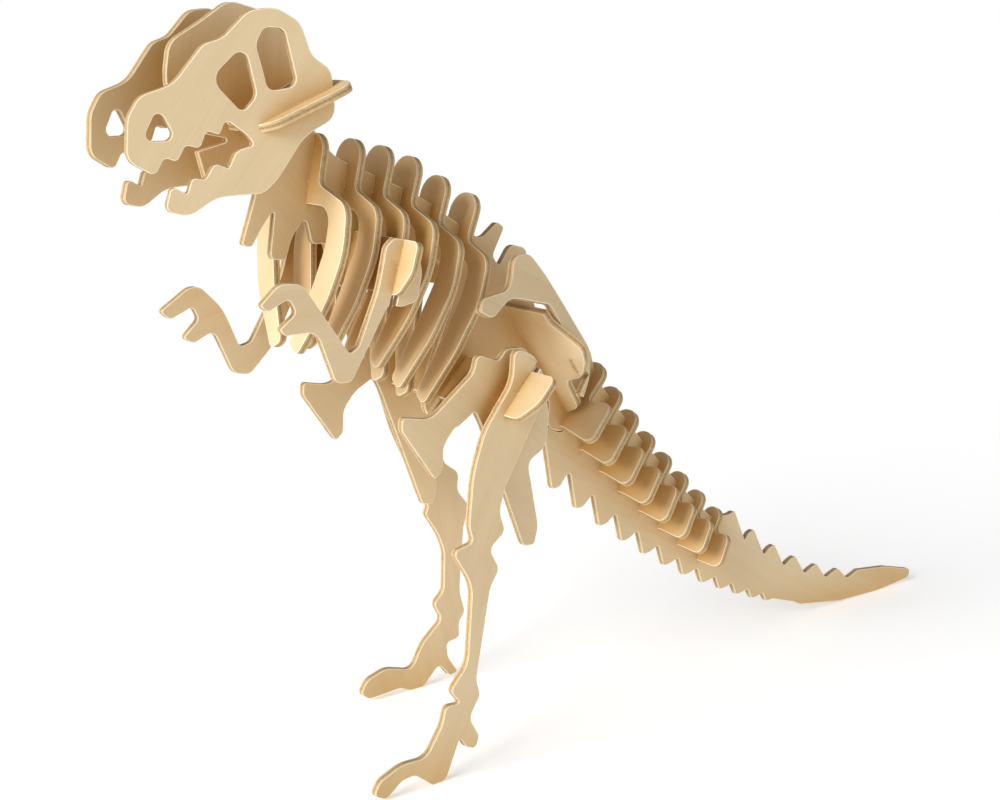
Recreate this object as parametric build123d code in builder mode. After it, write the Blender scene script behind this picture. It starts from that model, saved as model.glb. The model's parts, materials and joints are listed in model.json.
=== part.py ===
from build123d import *

import os
from math import atan2, cos, degrees, radians, sin, tan

# Plywood skeleton of a walking theropod: flat plates pushed together by halving slots.
# +X runs from the snout to the tail tip, +Z is up and the animal's left side is at -Y.
# Side plates are drawn in X and Z from a point on the floor below the hips; MIDDLE_X
# then carries everything to the middle of the model's length.

os.makedirs("parts", exist_ok=True)

# ---- driving dimensions: mm and degrees ------------------------------------------------

MIDDLE_X = 51.81           # middle of the length, from the point below the hips
PLY = 3.0                 # thickness of every plate
GAP = 0.1                 # free width of a slot beyond the ply
END = 0.1                 # free length where two half slots meet
EASE = 0.32               # share of its shorter side that a rounded corner takes

ARM_Y = 32.0              # distance of each pair of side plates from the middle
HIP_Y = 33.0
LEG_Y = 41.0
SNOUT_Y = 14.0            # skull plates: at the snout, and how fast they part
SNOUT_X = -169.0
SPLAY = 9.1
ILIUM_Y = 26.0            # ilium plates: where they stand on the sacrum, and their lean
ILIUM_LEAN = 20.0

# Crossing plates: a point (x, z) of each plane and the rise of its own up direction.
DECK_AT = (-125.0, 250.0)
DECK_RISE = 24.0
DECK_LENGTH = 38.0
SHOULDER_AT = (-75.0, 190.0)
SHOULDER_RISE = 74.0
HIP_AT = (-31.0, 140.0)
HIP_RISE = 48.0
SACRUM_AT = (3.0, 174.7)
SACRUM_RISE = -55.8
BAR_HEIGHT = 20.5         # shoulder and hip bars
BAR_MID = 10.0            # where a bar's half slot meets its neighbour's
SACRUM_MID = 30.0

# Ribs: (x, z) on the spine, rise, half width of the cage, depth of the tips.
RIBS = [
    ((-88.4, 231.8), 79.0, 29.0, 65.0),
    ((-72.8, 229.0), 77.0, 26.0, 65.0),
    ((-60.2, 226.0), 75.0, 26.0, 65.0),
    ((-47.5, 221.5), 74.0, 27.0, 66.0),
    ((-34.5, 213.5), 72.0, 26.0, 68.0),
    ((-20.5, 206.0), 70.0, 25.0, 69.0),
]
RIB_LOBE = 8.0            # half width of the lobe above the spine
RIB_TOP = 15.5
RIB_ARCH = -10.5          # underside of the bridge between the two arms
RIB_MID = -2.5            # where a rib's half slot meets the spine's
RIB_BAND = 11.0           # width of an arm
RIB_LIFT = 9.0            # free way above the lobe

# Tail: steps along a curve, each step turned a little from the one before.
SPIKE_START = (23.4, 113.0)
SPIKES = 12
SPIKE_STEP = (19.3, -0.8)
SPIKE_TURN = (-44.8, 2.23)
TOOTH_START = (223.0, 11.5)
TEETH = 6
TOOTH_STEP = (16.9, 0.0)
TOOTH_TURN = (166.5, -5.6)
CROSS_START = (32.0, 118.7)
CROSSES = 8
CROSS_STEP = (16.2, 0.0)
CROSS_TURN = (-47.0, 1.64)
CROSS_RISE = (48.0, 2.0)
CROSS_MID = 12.0


# ---- planes ----------------------------------------------------------------------------

def side_plane(y=0.0):
    """Upright lengthways plane: local x is X, local y is Z."""
    return Plane(origin=(-MIDDLE_X, y, 0), x_dir=(1, 0, 0), z_dir=(0, -1, 0))


def cross_plane(at, rise):
    """Plane across the body: local x is Y, local y climbs at the given rise."""
    slope = radians(rise)
    origin = (at[0] - MIDDLE_X, 0, at[1])
    return Plane(origin=origin, x_dir=(0, 1, 0), z_dir=(sin(slope), 0, -cos(slope)))


def skull_plane(side):
    """Upright plane of one skull plate, opening from the snout backwards."""
    splay = radians(SPLAY) * side
    origin = (SNOUT_X - MIDDLE_X, SNOUT_Y * side, 0)
    return Plane(origin=origin, x_dir=(cos(splay), sin(splay), 0),
                 z_dir=(sin(splay), -cos(splay), 0))


def ilium_plane(side):
    """Plane of one ilium: local x runs down the sacrum, local y rises towards the spine."""
    fall = radians(SACRUM_RISE)
    lean = radians(ILIUM_LEAN)
    origin = (SACRUM_AT[0] - MIDDLE_X, ILIUM_Y * side, SACRUM_AT[1])
    normal = (side * sin(fall) * sin(lean), -cos(lean), -side * cos(fall) * sin(lean))
    return Plane(origin=origin, x_dir=(cos(fall), 0, sin(fall)), z_dir=normal)


DECK = cross_plane(DECK_AT, DECK_RISE)
SHOULDER = cross_plane(SHOULDER_AT, SHOULDER_RISE)
HIP = cross_plane(HIP_AT, HIP_RISE)
SACRUM = cross_plane(SACRUM_AT, SACRUM_RISE)


# ---- drawing and cutting ---------------------------------------------------------------

def corner_radius(before, corner, after):
    """Radius stated for a corner, or else the largest arc that its two sides allow."""
    if len(corner) == 3:
        return corner[2]
    back = Vector(*before[:2]) - Vector(*corner)
    ahead = Vector(*after[:2]) - Vector(*corner)
    turn = radians(180 - back.get_angle(ahead))
    return EASE * min(back.length, ahead.length) / tan(turn / 2)


def outline(corners, mode=Mode.ADD):
    """Closed face in the current sketch from corners (across, up) or (across, up, radius)."""
    after = corners[1:] + corners[:1]
    before = corners[-1:] + corners[:-1]
    radii = [corner_radius(*three) for three in zip(before, corners, after)]
    with BuildLine() as edge:
        FilletPolyline([corner[:2] for corner in corners], radius=radii, close=True)
    make_face(edge.edges(), mode=mode)


def mirrored(half):
    """A symmetric outline from its right half, given from top to bottom."""
    return half + [(-corner[0], *corner[1:]) for corner in reversed(half)]


def thicken():
    """Turn the pending sketch into a plate, centred on its plane."""
    extrude(amount=PLY / 2, both=True)


def blade(plane, at, size, thickness, turn=0.0):
    """A flat cutter in a plane."""
    with BuildPart() as cutter:
        with BuildSketch(plane):
            with Locations(at):
                Rectangle(*size, rotation=turn)
        extrude(amount=thickness / 2, both=True)
    return cutter.part


def slot_in_side(plane, low, high, across=0.0):
    """Cut the current side plate where a crossing plate passes, between two heights."""
    centre = (across, (low + high) / 2)
    add(blade(plane, centre, (4 * PLY, high - low), PLY + GAP), mode=Mode.SUBTRACT)


def slot_in_cross(plane, low, high, across=0.0):
    """Cut the current crossing plate where a side plate passes, between two heights."""
    centre = (across, (low + high) / 2)
    add(blade(plane, centre, (PLY + GAP, high - low), 4 * PLY), mode=Mode.SUBTRACT)


def beside(at, rise, along, off):
    """Point (x, z) that far along a crossing plate and that far above its middle plane."""
    slope = radians(rise)
    x = at[0] + along * cos(slope) - off * sin(slope)
    z = at[1] + along * sin(slope) + off * cos(slope)
    return x, z


def walk(start, step, turn, count):
    """Points along a curve: (first, change) for both the step and its direction."""
    points = [start]
    for k in range(count):
        length = step[0] + step[1] * k
        heading = radians(turn[0] + turn[1] * k)
        x, z = points[-1]
        points.append((x + length * cos(heading), z + length * sin(heading)))
    return points


def finish(builder, name):
    builder.part.label = name
    export_step(builder.part, f"parts/{name}.step")


# ---- skull -----------------------------------------------------------------------------

SKULL_CORNERS = [
    (0, 242), (1, 256), (5.5, 263), (17, 266.5), (28, 279.5),
    (35, 281.5), (44.5, 290.5), (54, 291.5), (63, 286.5), (67, 275),
    (74, 270.5), (75.5, 254), (63.5, 248), (53.5, 234), (48, 229),
    (31, 228.5), (21, 222.5), (12.5, 224.5), (15, 233), (20.5, 230, 0.8),
    (22.5, 235.5), (27, 234.5), (30.5, 240), (35.5, 238, 0.8), (38.5, 244),
    (45, 245.5), (42.5, 249), (35, 254.5), (32.5, 249.5, 0.8), (28, 251),
    (25.5, 245), (20.5, 246.5), (17.5, 241), (13, 242.5), (9.5, 236.5),
]
NOSTRIL = [(11.5, 259.5), (17.5, 248), (5.5, 248)]
FRONT_WINDOW = [(30, 268), (42.5, 279.5), (46.5, 262), (41, 256.5)]
BACK_WINDOW = [(46.5, 279), (49.5, 285), (57, 284.5), (61.5, 265),
               (50.5, 263.5), (48.5, 272)]

DECK_MID = 17.0                     # where the skull plates' slots meet the deck's
SKEW = 0.5                          # free length there, as the plates cross at a slant
deck_slope = radians(DECK_RISE)
splay = radians(SPLAY)
deck_turn = degrees(atan2(tan(deck_slope) * cos(splay), 1))


def deck_point(along):
    """Place on a skull plate of a point that far up the deck."""
    x = DECK_AT[0] - SNOUT_X + along * cos(deck_slope)
    return x / cos(splay), DECK_AT[1] + along * sin(deck_slope)


for name, side in (("skull_left", -1), ("skull_right", 1)):
    with BuildPart() as skull:
        with BuildSketch(skull_plane(side)):
            outline(SKULL_CORNERS)
            outline(NOSTRIL, Mode.SUBTRACT)
            outline(FRONT_WINDOW, Mode.SUBTRACT)
            outline(BACK_WINDOW, Mode.SUBTRACT)
        thicken()
        low = DECK_MID - SKEW
        middle = (low + DECK_LENGTH) / 2
        size = (90, DECK_LENGTH - low)
        add(blade(DECK, (0, middle), size, PLY + GAP), mode=Mode.SUBTRACT)
    finish(skull, name)


DOME_SLOT = 8.0                     # where the deck's front slot meets the dome's
TAB_START = 29.0                    # the neck's tab in the deck's rear slot
UNDER = -PLY / 2 - 0.2              # lower face of the deck, with a little room
OVER = PLY / 2


def deck_corner(along, off, radius):
    return (*beside(DECK_AT, DECK_RISE, along, off), radius)


CENTRE_CORNERS = [
    (-135.2, 242.6, 0.8), (-121, 246, 0.8), (-143, 251),
    (-146.5, 268), (-144.5, 280), (-131, 287.5), (-121, 294),
    (-106, 290), (-91, 282), deck_corner(DECK_LENGTH, 3, 2),
    deck_corner(16, OVER, 0.5), deck_corner(15, -4, 0.5), (-114, 246),
    (-117, 232), (-131, 227.5),
]

with BuildPart() as skull_centre:
    with BuildSketch(side_plane()):
        outline(CENTRE_CORNERS)
    thicken()
    slot_in_side(DECK, DOME_SLOT - END, DECK_LENGTH + 3)
finish(skull_centre, "skull_centre")

DECK_CORNERS = mirrored([(34.5, DECK_LENGTH, 5), (33.5, 28, 20), (29, 5, 9), (22, 2, 1)])

with BuildPart() as skull_deck:
    with BuildSketch(DECK):
        outline(DECK_CORNERS)
    thicken()
    slot_in_cross(DECK, -4, DOME_SLOT + END)
    slot_in_cross(DECK, TAB_START, DECK_LENGTH + 2)
    for side in (-1, 1):
        centre = deck_point((DECK_MID + END - 6) / 2)
        size = (DECK_MID + END + 6, 4 * PLY)
        add(blade(skull_plane(side), centre, size, PLY + GAP, deck_turn), mode=Mode.SUBTRACT)
finish(skull_deck, "skull_deck")

# ---- spine and ribs --------------------------------------------------------------------


def sacrum_corner(along, off, radius):
    return (*beside(SACRUM_AT, SACRUM_RISE, along, off), radius)


SPINE_CORNERS = [
    # neck: front, and the tab that stands in the deck
    (-112, 228), deck_corner(20, UNDER - 1, 3), deck_corner(TAB_START + END, UNDER, 0.3),
    deck_corner(TAB_START + END, OVER - END, 0.3), deck_corner(DECK_LENGTH, OVER - END, 0.5),
    (-88.8, 260), (-89, 250),
    # back, two neural spines and the prong over the sacrum
    (-79, 238), (-64, 231.5), (-40, 221), (-11, 202), (-2.5, 208.5),
    (1, 206), (-5, 195), (-1.5, 190.5), (4.5, 199), (13, 196.5),
    (12, 187), sacrum_corner(27, 6, 3), sacrum_corner(SACRUM_MID + 1, -END, 0.3),
    # lobe at the end, then the belly with the hip and shoulder webs
    sacrum_corner(60, -END, 0.5), (33, 116.5), (24, 120), (25.5, 132.5), (10, 143),
    (0, 152), (-8, 147), (-13, 133), (-26, 125.5), (-40, 136), (-37, 152),
    (-21, 187), (-36, 198), (-58, 207), (-60.5, 193), (-75, 188),
    (-81.5, 193), (-83.5, 206.5),
    # fingers below the neck
    (-89.5, 206.5), (-92, 217), (-98, 210), (-101, 201.5),
    (-107.5, 202.5), (-104.8, 221), (-110, 215), (-115, 207.5),
    (-119, 208.5),
]

with BuildPart() as spine:
    with BuildSketch(side_plane()):
        outline(SPINE_CORNERS)
    thicken()
    for at, rise, _, _ in RIBS:
        slot_in_side(cross_plane(at, rise), RIB_MID - END, RIB_TOP + RIB_LIFT)
    slot_in_side(SHOULDER, -4, BAR_MID + END)
    slot_in_side(HIP, -18, BAR_MID + END)
    slot_in_side(SACRUM, -END, SACRUM_MID + END)
finish(spine, "spine")


def rib_corners(width, depth):
    """Right half of a rib: lobe, shoulder, curved arm and the arch inside it."""
    inner = width - RIB_BAND
    return [
        (RIB_LOBE, RIB_TOP, RIB_LOBE * 0.95), (RIB_LOBE, -3, 4), (width - 1, -9, 8),
        (width + 1, -26, 30), (width - 5, -0.68 * depth, 45), (9, -depth - 1, 2.8),
        (2.5, 3 - depth, 2.6), (inner - 5, -0.63 * depth, 35), (inner, -25, 20),
        (inner, RIB_ARCH, 7),
    ]


for number, (at, rise, width, depth) in enumerate(RIBS, 1):
    plane = cross_plane(at, rise)
    with BuildPart() as rib:
        with BuildSketch(plane):
            outline(mirrored(rib_corners(width, depth)))
        thicken()
        slot_in_cross(plane, RIB_ARCH - 2, RIB_MID)
    finish(rib, f"rib_{number}")

# ---- shoulders and arms ----------------------------------------------------------------

BAR_END = [(0, BAR_HEIGHT, 3), (0, 9, 8), (-6, 0, 5)]       # measured from the bar's end


def bar_corners(reach):
    return mirrored([(reach + x, z, r) for x, z, r in BAR_END])


with BuildPart() as shoulder_bar:
    with BuildSketch(SHOULDER):
        outline(bar_corners(42.5))
    thicken()
    slot_in_cross(SHOULDER, BAR_MID, BAR_HEIGHT + 1)
    for y in (-ARM_Y, ARM_Y):
        slot_in_cross(SHOULDER, BAR_MID, BAR_HEIGHT + 1, y)
finish(shoulder_bar, "shoulder_bar")

UPPER_ARM = [(-78.5, 208), (-75, 211), (-66, 209), (-62.5, 198),
             (-65, 187), (-72, 185.5)]
ARM_LEFT = [
    (-78, 187), (-94.5, 160.5), (-101, 161), (-108.5, 180.5),
    (-121.5, 180.5), (-123.5, 183), (-116.5, 188), (-119.5, 193.5),
    (-128, 189.5), (-131, 192), (-123, 199), (-114, 198),
    (-95, 171), (-91, 173), (-82, 193),
]
ARM_RIGHT = [
    (-77, 184), (-87, 165), (-99, 153.5), (-106, 155), (-114, 172.5),
    (-122.5, 168.5), (-127, 171), (-120, 177.5), (-122.5, 182.5),
    (-132, 178.5), (-136, 182), (-121, 191.5), (-110, 181),
    (-103, 165), (-98, 166), (-84, 189),
]

for name, y, corners in (("arm_left", -ARM_Y, ARM_LEFT), ("arm_right", ARM_Y, ARM_RIGHT)):
    with BuildPart() as arm:
        with BuildSketch(side_plane(y)):
            outline(UPPER_ARM + corners)
        thicken()
        slot_in_side(SHOULDER, -14, BAR_MID + END, y)
    finish(arm, name)

# ---- hips ------------------------------------------------------------------------------

TAB = (24.0, 31.0)                  # the ilium's tab, along the sacrum
SACRUM_CORNERS = [
    (25, 0, 0.5), (25.5, 5), (38, 16), (35, 24), (27, 33.5), (13.5, 38.5),
    (12, 54), (3, 58.5),
]

with BuildPart() as sacrum:
    with BuildSketch(SACRUM):
        outline(mirrored(SACRUM_CORNERS))
    thicken()
    slot_in_cross(SACRUM, SACRUM_MID, 64)
    for side in (-1, 1):
        middle = ((TAB[0] + TAB[1]) / 2, 0)
        size = (TAB[1] - TAB[0] + 2 * END, 4 * PLY)
        add(blade(ilium_plane(side), middle, size, PLY + GAP), mode=Mode.SUBTRACT)
finish(sacrum, "sacrum")

FOOT = 2.2                          # edge that stands on the sacrum, above its plane
ILIUM_CORNERS = [
    (-30, -2), (-24.5, 6.5), (-12, 8.7), (3, 9.6), (29.5, 10.5),
    (36.5, 2), (39, -8), (36.2, -8, 0.5), (35.4, FOOT, 0.5),
    (TAB[1], FOOT, 0.3), (TAB[1], -2, 0.3), (TAB[0], -2, 0.3), (TAB[0], FOOT, 0.3),
    (-2, FOOT, 3), (-21, -16), (-23, -31), (-30, -35), (-32, -30), (-23, -14),
]

for name, side in (("ilium_left", -1), ("ilium_right", 1)):
    with BuildPart() as ilium:
        with BuildSketch(ilium_plane(side)):
            outline(ILIUM_CORNERS)
        thicken()
    finish(ilium, name)

HIP_CORNERS = [
    (-38, 164), (-28, 160), (-24, 164.5), (-15, 164), (-7, 151),
    (-2.5, 136), (-4.5, 122.5), (-13.5, 118), (-8, 91), (-10, 83.5),
    (-15.5, 84), (-36.5, 137), (-39.5, 142.5), (-49, 137.5), (-54.5, 131),
    (-55, 121.5), (-58.5, 118.5), (-73.5, 139.5), (-73, 144.5),
    (-60, 142), (-40, 157),
]
hip_places = (("hip_left", -HIP_Y, 0, 0), ("hip_right", HIP_Y, -1.2, 2.3))

for name, y, forward, lift in hip_places:
    with BuildPart() as hip:
        with BuildSketch(side_plane(y)):
            outline([(x + forward, z + lift) for x, z in HIP_CORNERS])
        thicken()
        slot_in_side(HIP, BAR_MID - END, 45, y)
    finish(hip, name)

with BuildPart() as hip_bar:
    with BuildSketch(HIP):
        outline(bar_corners(56.5))
    thicken()
    slot_in_cross(HIP, BAR_MID, BAR_HEIGHT + 1)
    for y in (HIP_Y, LEG_Y):
        slot_in_cross(HIP, -1, BAR_MID, y)
        slot_in_cross(HIP, -1, BAR_MID, -y)
finish(hip_bar, "hip_bar")

# ---- legs ------------------------------------------------------------------------------

THIGH_TOP = [(-26.5, 166), (-17, 162.5), (-9.5, 149)]
LEG_LEFT = [
    (-31.5, 112), (-34, 103), (-31, 95), (-39, 89.5), (-34, 80.5),
    (-38.5, 74), (-45.5, 38), (-43.5, 31), (-49, 23), (-44, 14),
    (-46, 9.5), (-50.5, 11), (-53.5, 16), (-60.5, 0, 4), (-67, 0, 3),
    (-75, 6.5), (-81, 6), (-88.5, 0.3), (-94, 3.5), (-91, 8.5),
    (-81, 12.5), (-69.5, 12), (-62, 23), (-60, 30.5), (-53, 30, 0.8),
    (-58, 36), (-49.5, 45), (-47, 76.5), (-56.5, 91.5), (-46.5, 93.5),
    (-48.5, 100), (-46.5, 120), (-41, 136), (-27.5, 153),
]
LEG_RIGHT = [
    (-6, 128), (0.5, 100), (8.5, 94.5), (7.5, 86.5), (14.5, 78),
    (11, 70), (8.5, 40), (11.5, 30), (8, 25.5), (8.5, 18.5),
    (1, 17.5), (2, 10.5), (7.5, 2.5), (3, 1.5), (-3, 8.5),
    (-11.5, 0, 4), (-18.5, 0, 3), (-24, 2.5), (-40.5, 1.5), (-44.5, 5),
    (-41, 10.5), (-31, 13.5), (-17.5, 9.5), (-12, 20), (-1, 29),
    (-5.5, 37), (0, 42), (0.5, 60), (-2.5, 68), (-9.5, 78.5),
    (-8, 82), (-26, 118), (-33, 140), (-28, 155),
]

for name, y, corners in (("leg_left", -LEG_Y, LEG_LEFT), ("leg_right", LEG_Y, LEG_RIGHT)):
    with BuildPart() as leg:
        with BuildSketch(side_plane(y)):
            outline(THIGH_TOP + corners)
        thicken()
        slot_in_side(HIP, BAR_MID - END, 40, y)
    finish(leg, name)

# ---- tail ------------------------------------------------------------------------------


def spike_corners():
    """Lower edge of the tail: blunt spikes that shrink towards the tip."""
    valleys = walk(SPIKE_START, SPIKE_STEP, SPIKE_TURN, SPIKES)
    corners = []
    for k, (x, z) in enumerate(valleys[1:]):
        start_x, start_z = valleys[k]
        drop = 20.5 * 0.88 ** k
        tip_x = start_x + (x - start_x) * 0.27
        tip_z = start_z - drop
        corners.append((start_x, start_z))
        corners.append((tip_x, tip_z))
        corners.append((tip_x + 4.2, tip_z + 0.4))
    return corners


def tooth_corners():
    """Upper edge near the tip: slanting teeth that grow towards the hips."""
    corners = []
    for k, (x, z) in enumerate(walk(TOOTH_START, TOOTH_STEP, TOOTH_TURN, TEETH - 1)):
        rise = 7 + 1.8 * k
        corners.append((x, z))
        corners.append((x - 7.5, z + rise))
        corners.append((x - 11, z + rise - 1))
    return corners


TAIL_TIP = [(183, 8, 1), (188, 5.6, 10), (217, 1, 30), (247, 0, 40), (272, 2, 3), (273, 6.5, 2),
            (252, 12, 20), (231, 14.5, 1)]
TAIL_ROOT = [(124, 62), (100, 84), (75, 110), (52, 137), (47.5, 151),
             (41, 151.5), sacrum_corner(38, END, 1), sacrum_corner(60.5, END, 0.3),
             (33.5, 116), (23.6, 119.6), (24.6, 131.5), (21, 128)]

with BuildPart() as tail:
    with BuildSketch(side_plane()):
        outline(spike_corners() + TAIL_TIP + tooth_corners() + TAIL_ROOT)
    thicken()
    places = walk(CROSS_START, CROSS_STEP, CROSS_TURN, CROSSES - 1)
    for k, at in enumerate(places):
        slot_in_side(cross_plane(at, CROSS_RISE[0] + CROSS_RISE[1] * k), CROSS_MID - END, 34)
finish(tail, "tail")


def cross_corners(k):
    """Right half of a tail cross plate: lobe above, drooping wing at the side."""
    lobe = 8 - 0.4 * k
    wing = 24 - 1.1 * k
    return [
        (lobe, 33 - k, lobe * 0.95), (lobe, 14.5, 2.5), (wing - 1.5, 16, 4),
        (wing, k / 2 - 4, 4), (4, 0, 2),
    ]


for k, at in enumerate(places):
    plane = cross_plane(at, CROSS_RISE[0] + CROSS_RISE[1] * k)
    with BuildPart() as tail_cross:
        with BuildSketch(plane):
            outline(mirrored(cross_corners(k)))
        thicken()
        slot_in_cross(plane, -6, CROSS_MID)
    finish(tail_cross, f"tail_cross_{k + 1}")
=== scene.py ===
import json
from math import cos, radians, sin

import bmesh
import bpy
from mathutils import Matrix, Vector

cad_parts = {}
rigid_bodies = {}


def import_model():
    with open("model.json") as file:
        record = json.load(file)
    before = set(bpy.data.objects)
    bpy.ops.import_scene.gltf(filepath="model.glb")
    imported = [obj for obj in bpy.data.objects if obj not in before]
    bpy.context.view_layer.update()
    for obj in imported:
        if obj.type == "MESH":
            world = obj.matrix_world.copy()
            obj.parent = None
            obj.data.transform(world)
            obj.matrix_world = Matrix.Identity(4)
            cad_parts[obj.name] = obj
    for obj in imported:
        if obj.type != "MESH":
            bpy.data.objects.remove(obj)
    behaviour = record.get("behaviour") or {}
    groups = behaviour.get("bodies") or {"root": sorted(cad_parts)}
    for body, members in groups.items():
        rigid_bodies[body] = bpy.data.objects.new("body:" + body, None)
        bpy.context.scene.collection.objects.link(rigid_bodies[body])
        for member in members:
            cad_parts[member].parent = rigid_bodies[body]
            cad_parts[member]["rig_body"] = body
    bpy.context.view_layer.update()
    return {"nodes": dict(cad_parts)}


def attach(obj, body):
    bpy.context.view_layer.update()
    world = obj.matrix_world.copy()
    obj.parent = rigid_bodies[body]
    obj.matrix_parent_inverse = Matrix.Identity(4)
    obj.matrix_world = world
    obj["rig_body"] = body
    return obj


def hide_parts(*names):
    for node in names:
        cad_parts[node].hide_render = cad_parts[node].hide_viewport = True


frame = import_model()

# Plywood skeleton kit. Every plate of the frame is rebuilt with sanded arrises and gets
# veneer on its faces and three layers of ply on its cut edges.

MM = 0.001
WELD = 0.001 * MM          # points nearer than this are one point
LEVEL = radians(0.3)       # polygons that turn less than this are one polygon
ARRIS = 0.28 * MM          # width of the sanded rounding along every cut edge
ARRIS_STEPS = 2
CREASE = radians(20)       # sharper corners than this aren't shaded smooth
FLAT = 0.97                # a polygon this square to the plate is one of its faces,
CUT = 0.42                 # one turned further than this is a cut edge
GRAIN_TURN = 5             # degrees between the directions tried for the grain
NEXT_ALONG = 531           # mm in the veneer from one plate to the next, along the
NEXT_ACROSS = 217          # grain and across it

# ---- plates ----------------------------------------------------------------------------

FACE, ARRIS_BAND, EDGE = range(3)


def plate_axes(mesh):
    """Normal of a plate, and the direction of its grain: along its longest way."""
    largest = max(mesh.polygons, key=lambda polygon: polygon.area)
    normal = largest.normal.copy()
    points = [vertex.co for vertex in mesh.vertices]
    first = normal.orthogonal().normalized()
    second = normal.cross(first)
    best_length = 0
    for turn in range(0, 180, GRAIN_TURN):
        angle = radians(turn)
        way = first * cos(angle) + second * sin(angle)
        reaches = [point.dot(way) for point in points]
        length = max(reaches) - min(reaches)
        if length > best_length:
            best_length = length
            grain = way
    return normal, grain


def sand_arrises(mesh, normal):
    """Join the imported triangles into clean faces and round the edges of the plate."""
    work = bmesh.new()
    work.from_mesh(mesh)
    bmesh.ops.remove_doubles(work, verts=work.verts, dist=WELD)
    bmesh.ops.dissolve_limit(work, angle_limit=LEVEL, verts=work.verts, edges=work.edges)
    rims = []
    for edge in work.edges:
        turns = [abs(face.normal.dot(normal)) for face in edge.link_faces]
        if max(turns) > FLAT and min(turns) < CUT:
            rims.append(edge)
    bmesh.ops.bevel(work, geom=rims, offset=ARRIS, offset_type="OFFSET",
                    segments=ARRIS_STEPS, profile=0.5, affect="EDGES",
                    clamp_overlap=False)
    work.to_mesh(mesh)
    work.free()


def mark_surfaces(mesh, normal):
    """Give each polygon the material of a face, an arris or a cut edge."""
    for polygon in mesh.polygons:
        turn = abs(polygon.normal.dot(normal))
        if turn > FLAT:
            polygon.material_index = FACE
        elif turn > CUT:
            polygon.material_index = ARRIS_BAND
        else:
            polygon.material_index = EDGE
        polygon.use_smooth = True
    mesh.set_sharp_from_angle(angle=CREASE)


def lay_veneer(mesh, normal, grain, number):
    """Store each point's place in the sheet: along the grain, across it and in depth, in mm."""
    across = normal.cross(grain)
    middle = sum((vertex.co.dot(normal) for vertex in mesh.vertices)) / len(mesh.vertices)
    place = mesh.attributes.new("sheet", "FLOAT_VECTOR", "POINT")
    for vertex, item in zip(mesh.vertices, place.data):
        item.vector = (vertex.co.dot(grain) / MM + NEXT_ALONG * number,
                       vertex.co.dot(across) / MM + NEXT_ACROSS * number,
                       (vertex.co.dot(normal) - middle) / MM)


def make_plate(name, number, materials):
    """Rebuild one node of the frame as a finished plate that rides on the same body."""
    node = frame["nodes"][name]
    mesh = node.data.copy()
    mesh.name = f"plate_{name}"
    normal, grain = plate_axes(mesh)
    sand_arrises(mesh, normal)
    mesh.materials.clear()
    for material in materials:
        mesh.materials.append(material)
    mark_surfaces(mesh, normal)
    lay_veneer(mesh, normal, grain, number)
    plate = bpy.data.objects.new(f"plate_{name}", mesh)
    bpy.context.scene.collection.objects.link(plate)
    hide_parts(name)
    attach(plate, node["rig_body"])


# ---- materials -------------------------------------------------------------------------

def add_node(tree, kind, **settings):
    """A new node with its plain settings."""
    node = tree.nodes.new(kind)
    for key, value in settings.items():
        setattr(node, key, value)
    return node


def join(tree, source, target):
    tree.links.new(source, target)


def sheet_place(tree, stretch):
    """The stored place in the sheet, stretched for a pattern: (along, across, depth)."""
    place = add_node(tree, "ShaderNodeAttribute", attribute_name="sheet")
    mapping = add_node(tree, "ShaderNodeMapping")
    mapping.inputs["Scale"].default_value = stretch
    join(tree, place.outputs["Vector"], mapping.inputs["Vector"])
    return mapping.outputs["Vector"]


def noise(tree, stretch, detail=3.0, roughness=0.55, distortion=0.0):
    """Fractal noise in the sheet, with so many waves for each mm in the three directions."""
    texture = add_node(tree, "ShaderNodeTexNoise")
    texture.inputs["Scale"].default_value = 1.0
    texture.inputs["Detail"].default_value = detail
    texture.inputs["Roughness"].default_value = roughness
    texture.inputs["Distortion"].default_value = distortion
    join(tree, sheet_place(tree, stretch), texture.inputs["Vector"])
    return texture.outputs["Fac"]


def band(tree, value, low, high, bottom=0.0, top=1.0):
    """Stretch part of a value's range."""
    node = add_node(tree, "ShaderNodeMapRange")
    node.inputs["From Min"].default_value = low
    node.inputs["From Max"].default_value = high
    node.inputs["To Min"].default_value = bottom
    node.inputs["To Max"].default_value = top
    join(tree, value, node.inputs["Value"])
    return node.outputs["Result"]


def blend_colours(tree, amount, first, second, mode="MIX"):
    """Mix two colours, each a colour or a socket, by an amount, a number or a socket."""
    node = add_node(tree, "ShaderNodeMix", data_type="RGBA", blend_type=mode)
    for socket, value in ((node.inputs[0], amount), (node.inputs[6], first),
                          (node.inputs[7], second)):
        if isinstance(value, bpy.types.NodeSocket):
            join(tree, value, socket)
        else:
            socket.default_value = value
    return node.outputs[2]


def wood_material(name):
    """A new material with a faintly glossy shader: (material, tree, shader)."""
    material = bpy.data.materials.new(name)
    material.use_nodes = True
    tree = material.node_tree
    shader = tree.nodes["Principled BSDF"]
    shader.inputs["Specular IOR Level"].default_value = WOOD_GLOSS
    return material, tree, shader


def add_bump(tree, shader, height, distance):
    """Relief of the surface, from a height between 0 and 1 and the depth it stands for."""
    bump = add_node(tree, "ShaderNodeBump")
    bump.inputs["Strength"].default_value = 1.0
    bump.inputs["Distance"].default_value = distance
    join(tree, height, bump.inputs["Height"])
    join(tree, bump.outputs["Normal"], shader.inputs["Normal"])


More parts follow.
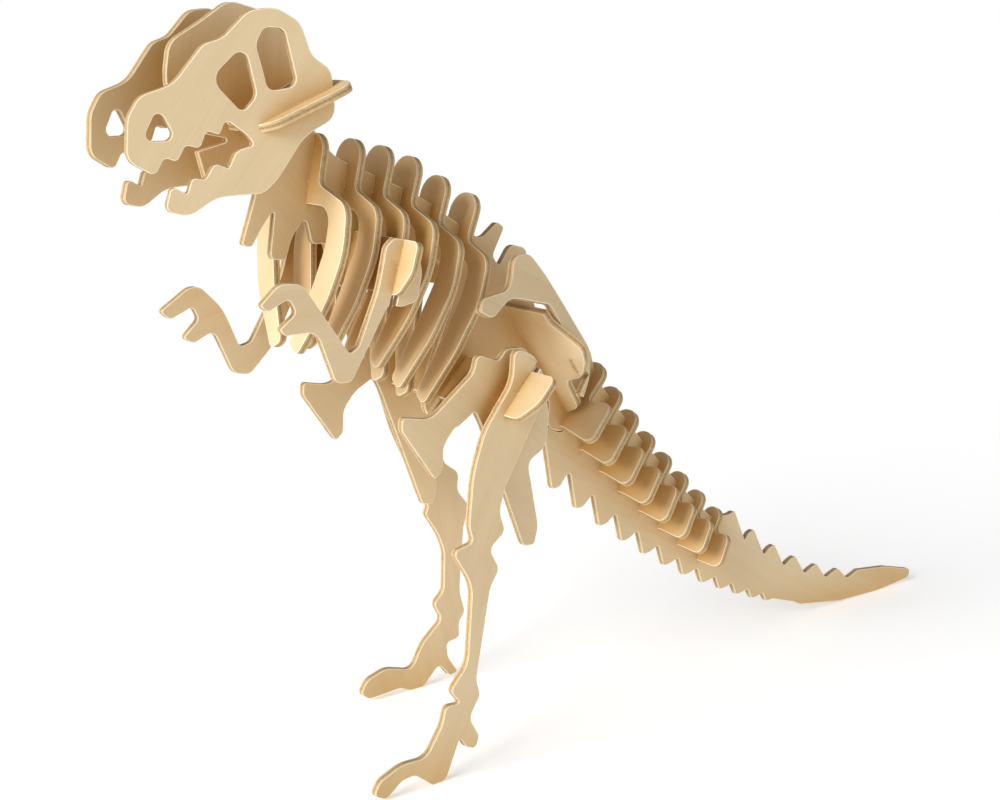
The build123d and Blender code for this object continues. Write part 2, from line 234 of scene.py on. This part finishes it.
WOOD_GLOSS = 0.45
PALE = (0.77, 0.60, 0.365, 1)
WARM = (0.71, 0.53, 0.295, 1)
STREAK = (0.60, 0.42, 0.21, 1)
PORE = (0.42, 0.27, 0.13, 1)
# pale sanded wood of the arris, brightened into a painted highlight
SANDED_CREAM_AND_HIGHLIGHT = (1.0, 0.92, 0.72, 1)
OUTER_PLY = (0.62, 0.44, 0.22, 1)
CORE_PLY = (0.40, 0.25, 0.10, 1)
FIBRE = (0.85, 0.66, 0.40, 1)
CHAR = (0.15, 0.09, 0.035, 1)
PAINTED_SHADE_TINT = (0.80, 0.60, 0.28, 1)    # painted shade: tint multiplied in between plates that stand close
PAINTED_SHADE_REACH = 35 * MM          # plates nearer than this darken one another with painted shade
PAINTED_SHADE_RANGE = (0.3, 0.92)         # share of open sky where the painted shade is full, and where it ends
CORE = (0.42, 0.58)        # mm from the middle where the core ply ends
GRAIN_RELIEF = 0.03 * MM
FIBRE_RELIEF = 0.12 * MM


def paint_shade_between_plates(tree, colour):
    """Painted shade: warm and deepen a colour where neighbouring plates close off the room."""
    occlusion = add_node(tree, "ShaderNodeAmbientOcclusion", samples=8)
    occlusion.inputs["Distance"].default_value = PAINTED_SHADE_REACH
    shade_amount = band(tree, occlusion.outputs["AO"], *PAINTED_SHADE_RANGE)
    shaded_colour = blend_colours(tree, 1.0, colour, PAINTED_SHADE_TINT, mode="MULTIPLY")
    return blend_colours(tree, shade_amount, shaded_colour, colour)


def face_material():
    """Rotary-cut veneer: soft figure, fine streaks and short pores along the grain, with
    painted shade where plates stand close.
    """
    material, tree, shader = wood_material("plywood_face")
    figure = noise(tree, (0.006, 0.035, 0.0), detail=4, distortion=1.2)
    colour = blend_colours(tree, band(tree, figure, 0.35, 0.7), PALE, WARM)
    streaks = noise(tree, (0.02, 0.9, 0.3), detail=5, roughness=0.6)
    colour = blend_colours(tree, band(tree, streaks, 0.52, 0.8, 0, 0.28), colour, STREAK)
    pores = noise(tree, (0.25, 5.0, 1.0), detail=2)
    colour = blend_colours(tree, band(tree, pores, 0.64, 0.76, 0, 0.25), colour, PORE)
    # the painted shade between plates goes into the face colour
    join(tree, paint_shade_between_plates(tree, colour), shader.inputs["Base Color"])
    join(tree, band(tree, streaks, 0.3, 0.8, 0.52, 0.68), shader.inputs["Roughness"])
    add_bump(tree, shader, blend_colours(tree, 0.5, streaks, pores), GRAIN_RELIEF)
    return material


def arris_material():
    """Sanded rounding between a face and a cut edge: clean pale veneer, made lighter still as a
    painted highlight.
    """
    material, tree, shader = wood_material("plywood_arris")
    wear = noise(tree, (0.35, 0.35, 1.5), detail=3)
    # the arris colour is pale sanded wood plus a painted highlight, with some wear
    colour = blend_colours(tree, band(tree, wear, 0.55, 0.8, 0, 0.45), SANDED_CREAM_AND_HIGHLIGHT, STREAK)
    join(tree, colour, shader.inputs["Base Color"])
    shader.inputs["Roughness"].default_value = 0.55
    return material


def edge_material():
    """Cut edge: a dark core ply between two lighter ones, with char and broken fibres."""
    material, tree, shader = wood_material("plywood_edge")
    parts = add_node(tree, "ShaderNodeSeparateXYZ")
    join(tree, sheet_place(tree, (1, 1, 1)), parts.inputs["Vector"])
    depth = add_node(tree, "ShaderNodeMath", operation="ABSOLUTE")
    join(tree, parts.outputs["Z"], depth.inputs[0])
    layer = band(tree, depth.outputs["Value"], *CORE)
    colour = blend_colours(tree, layer, CORE_PLY, OUTER_PLY)
    fibres = noise(tree, (1.1, 1.1, 3.2), detail=4, roughness=0.7)
    colour = blend_colours(tree, band(tree, fibres, 0.52, 0.68, 0, 0.85), colour, FIBRE)
    burns = noise(tree, (0.16, 0.16, 0.5), detail=5, roughness=0.65)
    colour = blend_colours(tree, band(tree, burns, 0.55, 0.75, 0, 0.55), colour, CHAR)
    join(tree, colour, shader.inputs["Base Color"])
    shader.inputs["Roughness"].default_value = 0.75
    add_bump(tree, shader, fibres, FIBRE_RELIEF)
    return material


surfaces = [face_material(), arris_material(), edge_material()]
for number, name in enumerate(sorted(frame["nodes"])):
    make_plate(name, number, surfaces)

# ---- floor, light and camera -----------------------------------------------------------

FLOOR_REACH = 60.0         # m each way, so that its end lies at the horizon
FLOOR_COLOUR = (0.93, 0.93, 0.93, 1)
FLOOR_GLOW = 0.37          # the studio's table is lit a little from below
WHITE = (1, 1, 1, 1)


def make_floor():
    """A plain white table, as wide as the room."""
    mesh = bpy.data.meshes.new("floor")
    corners = [(-1, -1), (1, -1), (1, 1), (-1, 1)]
    mesh.from_pydata([(x * FLOOR_REACH, y * FLOOR_REACH, 0) for x, y in corners], [],
                     [(0, 1, 2, 3)])
    floor = bpy.data.objects.new("floor", mesh)
    bpy.context.scene.collection.objects.link(floor)
    material = bpy.data.materials.new("floor")
    material.use_nodes = True
    shader = material.node_tree.nodes["Principled BSDF"]
    shader.inputs["Base Color"].default_value = FLOOR_COLOUR
    shader.inputs["Roughness"].default_value = 0.9
    shader.inputs["Specular IOR Level"].default_value = 0.1
    shader.inputs["Emission Color"].default_value = WHITE
    shader.inputs["Emission Strength"].default_value = FLOOR_GLOW
    mesh.materials.append(material)


SKY = 0.20                 # brightness of the studio overhead
HORIZON = 1.0              # and level with the floor's far edge
FADE = (0.08, 0.5)         # sines of the heights where one turns into the other


def make_world():
    """A soft white room, brightest level with the horizon."""
    world = bpy.data.worlds.new("studio")
    bpy.context.scene.world = world
    world.use_nodes = True
    tree = world.node_tree
    place = add_node(tree, "ShaderNodeTexCoord")
    parts = add_node(tree, "ShaderNodeSeparateXYZ")
    join(tree, place.outputs["Generated"], parts.inputs["Vector"])
    background = tree.nodes["Background"]
    background.inputs["Color"].default_value = WHITE
    strength = band(tree, parts.outputs["Z"], *FADE, HORIZON, SKY)
    join(tree, strength, background.inputs["Strength"])


def make_sun(name, towards, strength, spread):
    """A distant soft light that shines from the given direction."""
    light = bpy.data.lights.new(name, "SUN")
    light.energy = strength
    light.angle = radians(spread)
    lamp = bpy.data.objects.new(name, light)
    bpy.context.scene.collection.objects.link(lamp)
    lamp.rotation_mode = "QUATERNION"
    lamp.rotation_quaternion = Vector(towards).to_track_quat("Z", "Y")


KEY_FROM = (-0.85, -0.10, 0.42)
KEY_STRENGTH = 3.0
KEY_SPREAD = 35            # degrees

AIM = Vector((-51.81 * MM, 0, 135 * MM))
DISTANCE = 697 * MM
TURN = radians(38.5)       # from straight beside the model towards its snout
DROP = radians(12.7)       # looking down
SENSOR = 36                # mm, as the lens
LENS = 61.2
CLIP_START = 10 * MM


def make_camera():
    """A camera on the animal's left, in front of it, that looks a little down."""
    camera = bpy.data.cameras.new("camera")
    camera.sensor_width = SENSOR
    camera.lens = LENS
    camera.clip_start = CLIP_START
    holder = bpy.data.objects.new("camera", camera)
    bpy.context.scene.collection.objects.link(holder)
    back = Vector((-sin(TURN) * cos(DROP), -cos(TURN) * cos(DROP), sin(DROP)))
    holder.location = AIM + back * DISTANCE
    holder.rotation_mode = "QUATERNION"
    holder.rotation_quaternion = (-back).to_track_quat("-Z", "Y")
    bpy.context.scene.camera = holder


make_floor()
make_world()
make_sun("key", KEY_FROM, KEY_STRENGTH, KEY_SPREAD)
make_camera()
bpy.context.scene.view_settings.view_transform = "Standard"
